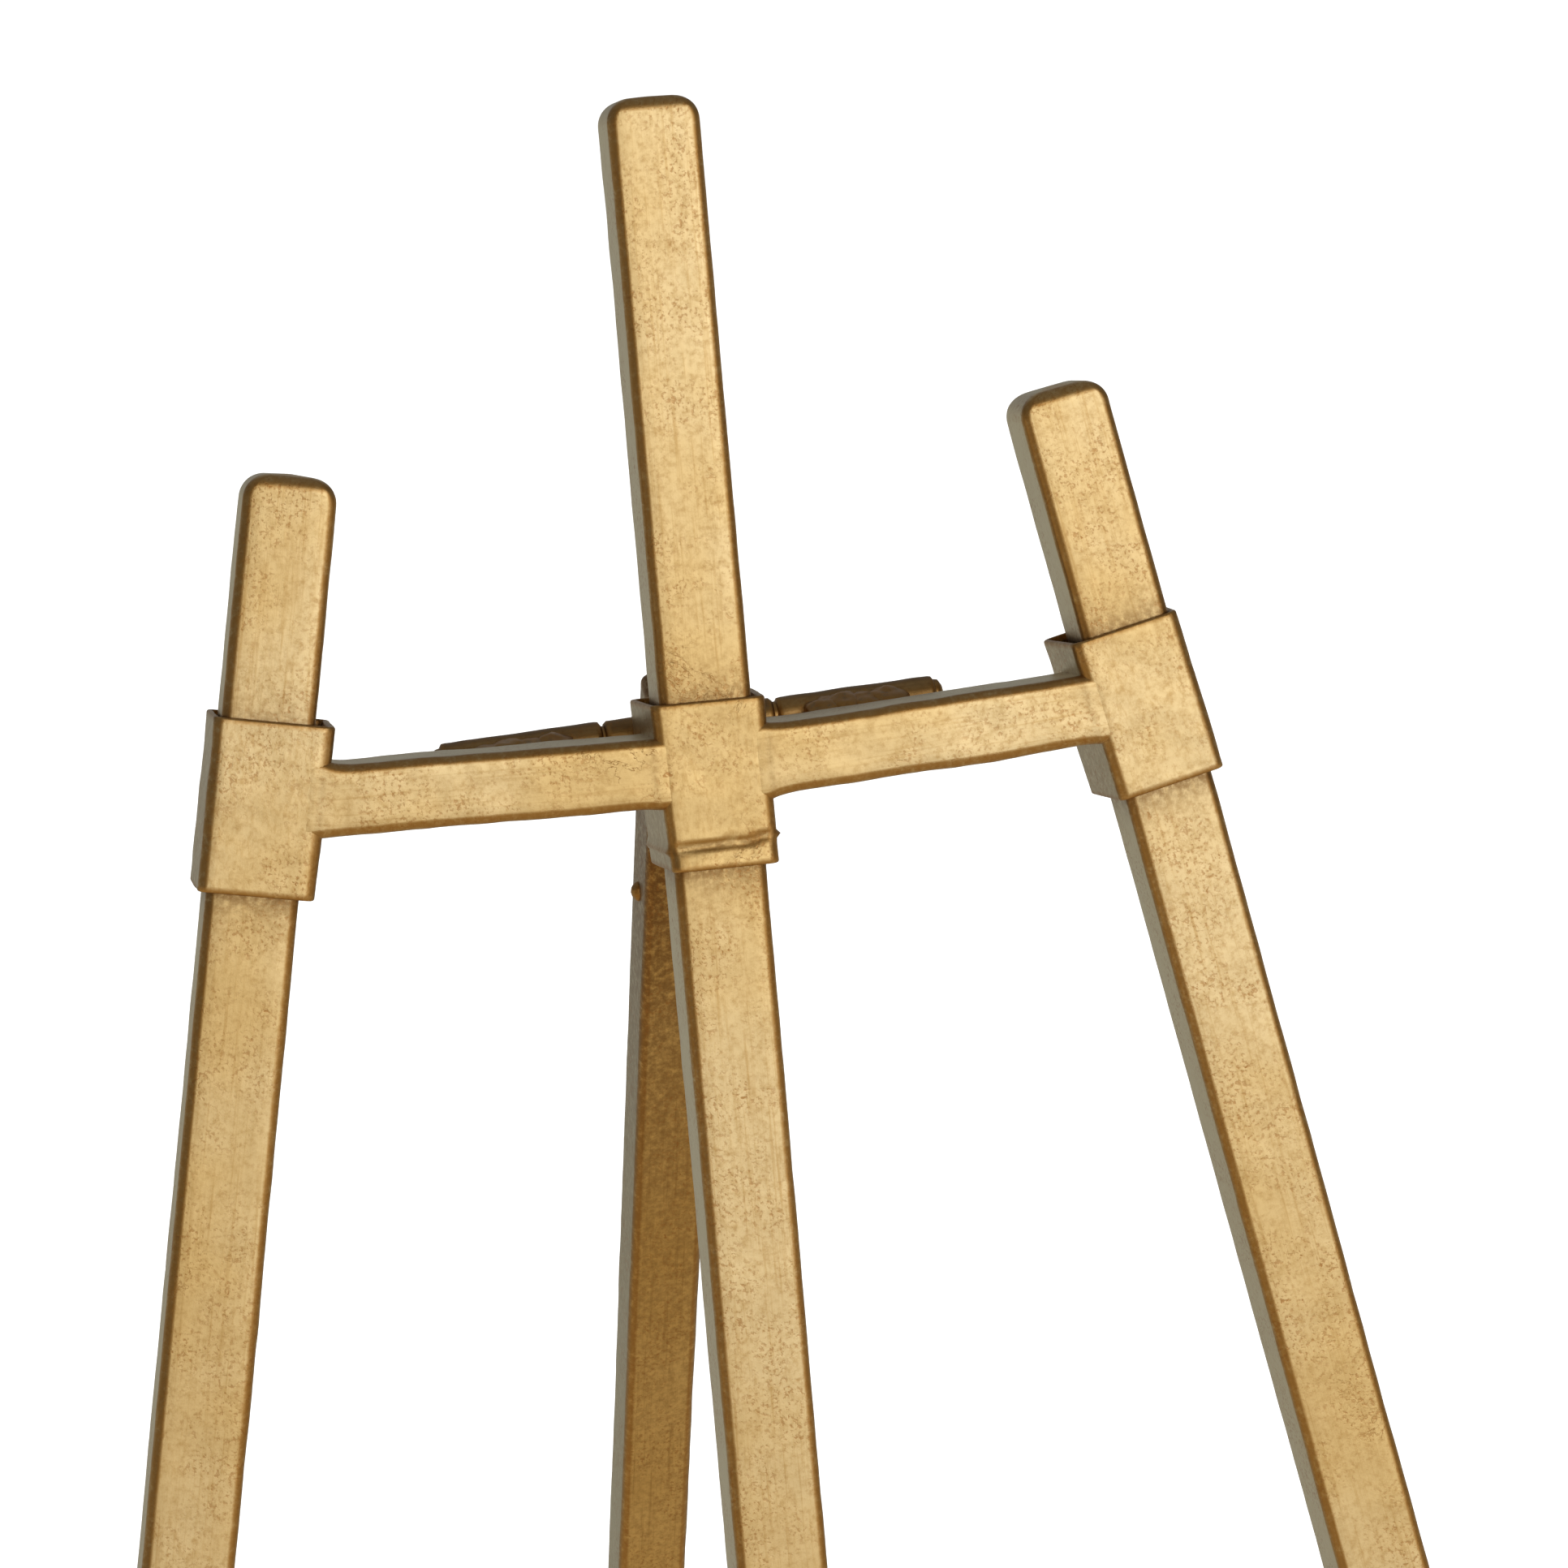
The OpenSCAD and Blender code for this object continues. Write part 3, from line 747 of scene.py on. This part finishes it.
# ---------------------------------------------------------------- floor
floor_mesh = bpy.data.meshes.new("floor")
floor_bm = bmesh.new()
bmesh.ops.create_circle(floor_bm, cap_ends=True, segments=96, radius=40)
floor_bm.to_mesh(floor_mesh)
floor_bm.free()
floor = bpy.data.objects.new("floor", floor_mesh)
bpy.context.scene.collection.objects.link(floor)
floor_material = bpy.data.materials.new("pale_floor")
floor_material.use_nodes = True
floor_nodes, floor_links = floor_material.node_tree.nodes, floor_material.node_tree.links
floor_shader = floor_nodes["Principled BSDF"]
floor_shader.inputs["Base Color"].default_value = (0.62, 0.62, 0.62, 1)
floor_shader.inputs["Roughness"].default_value = 0.9
floor_shader.inputs["Specular IOR Level"].default_value = 0.0
floor_shader.inputs["Emission Color"].default_value = (1, 1, 1, 1)
# Painted light on the floor: the camera sees a painted glow, dimmer near the easel as a painted pool of shade
# and brighter with the distance. Everything else sees a painted dimmer glow, warmer in front of the easel, in
# place of the floor's reflected light.
painted_reflected_floor_glow = floor_nodes.new("ShaderNodeEmission")
floor_coords = floor_nodes.new("ShaderNodeTexCoord").outputs["Object"]
floor_place = floor_nodes.new("ShaderNodeSeparateXYZ")
floor_links.new(floor_coords, floor_place.inputs["Vector"])
floor_radius = floor_nodes.new("ShaderNodeVectorMath")
floor_radius.operation = "LENGTH"
floor_links.new(floor_coords, floor_radius.inputs[0])
away = ramp(floor_nodes, floor_links, floor_radius.outputs["Value"], 0.8, 1.8)
far_glow = math_node(floor_nodes, floor_links, "MULTIPLY", away, 0.5)
floor_glow = math_node(floor_nodes, floor_links, "ADD", far_glow, 0.34)
floor_links.new(floor_glow, floor_shader.inputs["Emission Strength"])
behind = ramp(floor_nodes, floor_links, floor_place.outputs["Y"], -0.3, 0.9)
painted_reflected_floor_tint = blend_colour(floor_nodes, floor_links, behind, (0.5, 0.41, 0.27), (0.38, 0.375, 0.33))
floor_links.new(painted_reflected_floor_tint, painted_reflected_floor_glow.inputs["Color"])
painted_reflected_floor_glow.inputs["Strength"].default_value = 1.0
floor_path = floor_nodes.new("ShaderNodeLightPath")
floor_mix = floor_nodes.new("ShaderNodeMixShader")
floor_links.new(floor_path.outputs["Is Camera Ray"], floor_mix.inputs["Fac"])
floor_links.new(painted_reflected_floor_glow.outputs["Emission"], floor_mix.inputs[1])
floor_links.new(floor_shader.outputs["BSDF"], floor_mix.inputs[2])
floor_links.new(floor_mix.outputs["Shader"], floor_nodes["Material Output"].inputs["Surface"])
floor_mesh.materials.append(floor_material)


# ---------------------------------------------------------------- light
def studio_world():
    """Pale surroundings: bright in front of the easel, darker at its sides, grey behind it."""
    world = bpy.data.worlds.new("studio")
    bpy.context.scene.world = world
    world.use_nodes = True
    nodes, links = world.node_tree.nodes, world.node_tree.links
    background = nodes["Background"]
    direction = nodes.new("ShaderNodeTexCoord").outputs["Generated"]

    def lobe(toward, low, high):
        dot = nodes.new("ShaderNodeVectorMath")
        dot.operation = "DOT_PRODUCT"
        links.new(direction, dot.inputs[0])
        dot.inputs[1].default_value = Vector(toward).normalized()
        return ramp(nodes, links, dot.outputs["Value"], low, high)

    toward_front = (0.36, -1, 0.11)
    level = nodes.new("ShaderNodeValue").outputs["Value"]
    level.default_value = 0.17
    front = lobe(toward_front, 0.72, 0.99)
    back = lobe((0, 1, 0.05), 0.8, 0.99)
    above = lobe((0, 0, 1), 0.5, 0.95)
    for part, weight in ((front, 0.98), (back, 0.08), (above, 0.04)):
        adder = nodes.new("ShaderNodeMath")
        adder.operation = "MULTIPLY_ADD"
        links.new(part, adder.inputs[0])
        adder.inputs[1].default_value = weight
        links.new(level, adder.inputs[2])
        level = adder.outputs["Value"]
    fringe = math_node(nodes, links, "SUBTRACT", lobe(toward_front, 0.3, 0.75), front)
    tint = blend_colour(nodes, links, fringe, (1, 1, 1), (1, 0.78, 0.4))
    links.new(tint, background.inputs["Color"])
    links.new(level, background.inputs["Strength"])
    sky = nodes.new("ShaderNodeBackground")
    sky.inputs["Color"].default_value = (1, 1, 1, 1)
    path = nodes.new("ShaderNodeLightPath")
    mix = nodes.new("ShaderNodeMixShader")
    links.new(path.outputs["Is Camera Ray"], mix.inputs["Fac"])
    links.new(background.outputs["Background"], mix.inputs[1])
    links.new(sky.outputs["Background"], mix.inputs[2])
    links.new(mix.outputs["Shader"], nodes["World Output"].inputs["Surface"])


def area_light(name, place, target, size, power):
    data = bpy.data.lights.new(name, "AREA")
    data.shape = "DISK"
    data.size = size
    data.energy = power
    light = bpy.data.objects.new(name, data)
    light.location = place
    light.rotation_euler = (Vector(target) - Vector(place)).to_track_quat("-Z", "Y").to_euler()
    bpy.context.scene.collection.objects.link(light)
    return light


studio_world()
area_light("key", (0.9, -3.0, 2.4), (0, 0, 0.9), 1.8, 6)
area_light("floor_wash", (0, 2.5, 4.5), (0, 1.5, 0), 5.0, 150).visible_glossy = False


# ---------------------------------------------------------------- camera
def place_camera():
    """Looks at the upper crossbar from a little left of and above the front frame's normal."""
    azimuth, elevation, distance = math.radians(7.57), math.radians(4.84), 1.1343
    aim = AT_FRAME @ Vector((15.93 * MM, 0, -1.88 * MM))
    level = math.cos(elevation)
    away = Vector((-math.sin(azimuth) * level, -math.cos(azimuth) * level, math.sin(elevation)))
    place = AT_FRAME @ (away * distance)
    forward = (aim - place).normalized()
    up = AT_FRAME.to_3x3() @ Vector((0, 0, 1))
    right = forward.cross(up).normalized()
    up = right.cross(forward)
    basis = Matrix((right, up, -forward)).transposed().to_4x4()
    data = bpy.data.cameras.new("camera")
    data.lens = 126.03
    data.sensor_width = 36
    camera = bpy.data.objects.new("camera", data)
    camera.matrix_world = Matrix.Translation(place) @ basis @ turn(-5.02, "Z")
    bpy.context.scene.collection.objects.link(camera)
    bpy.context.scene.camera = camera


place_camera()
bpy.context.scene.view_settings.view_transform = "Standard"
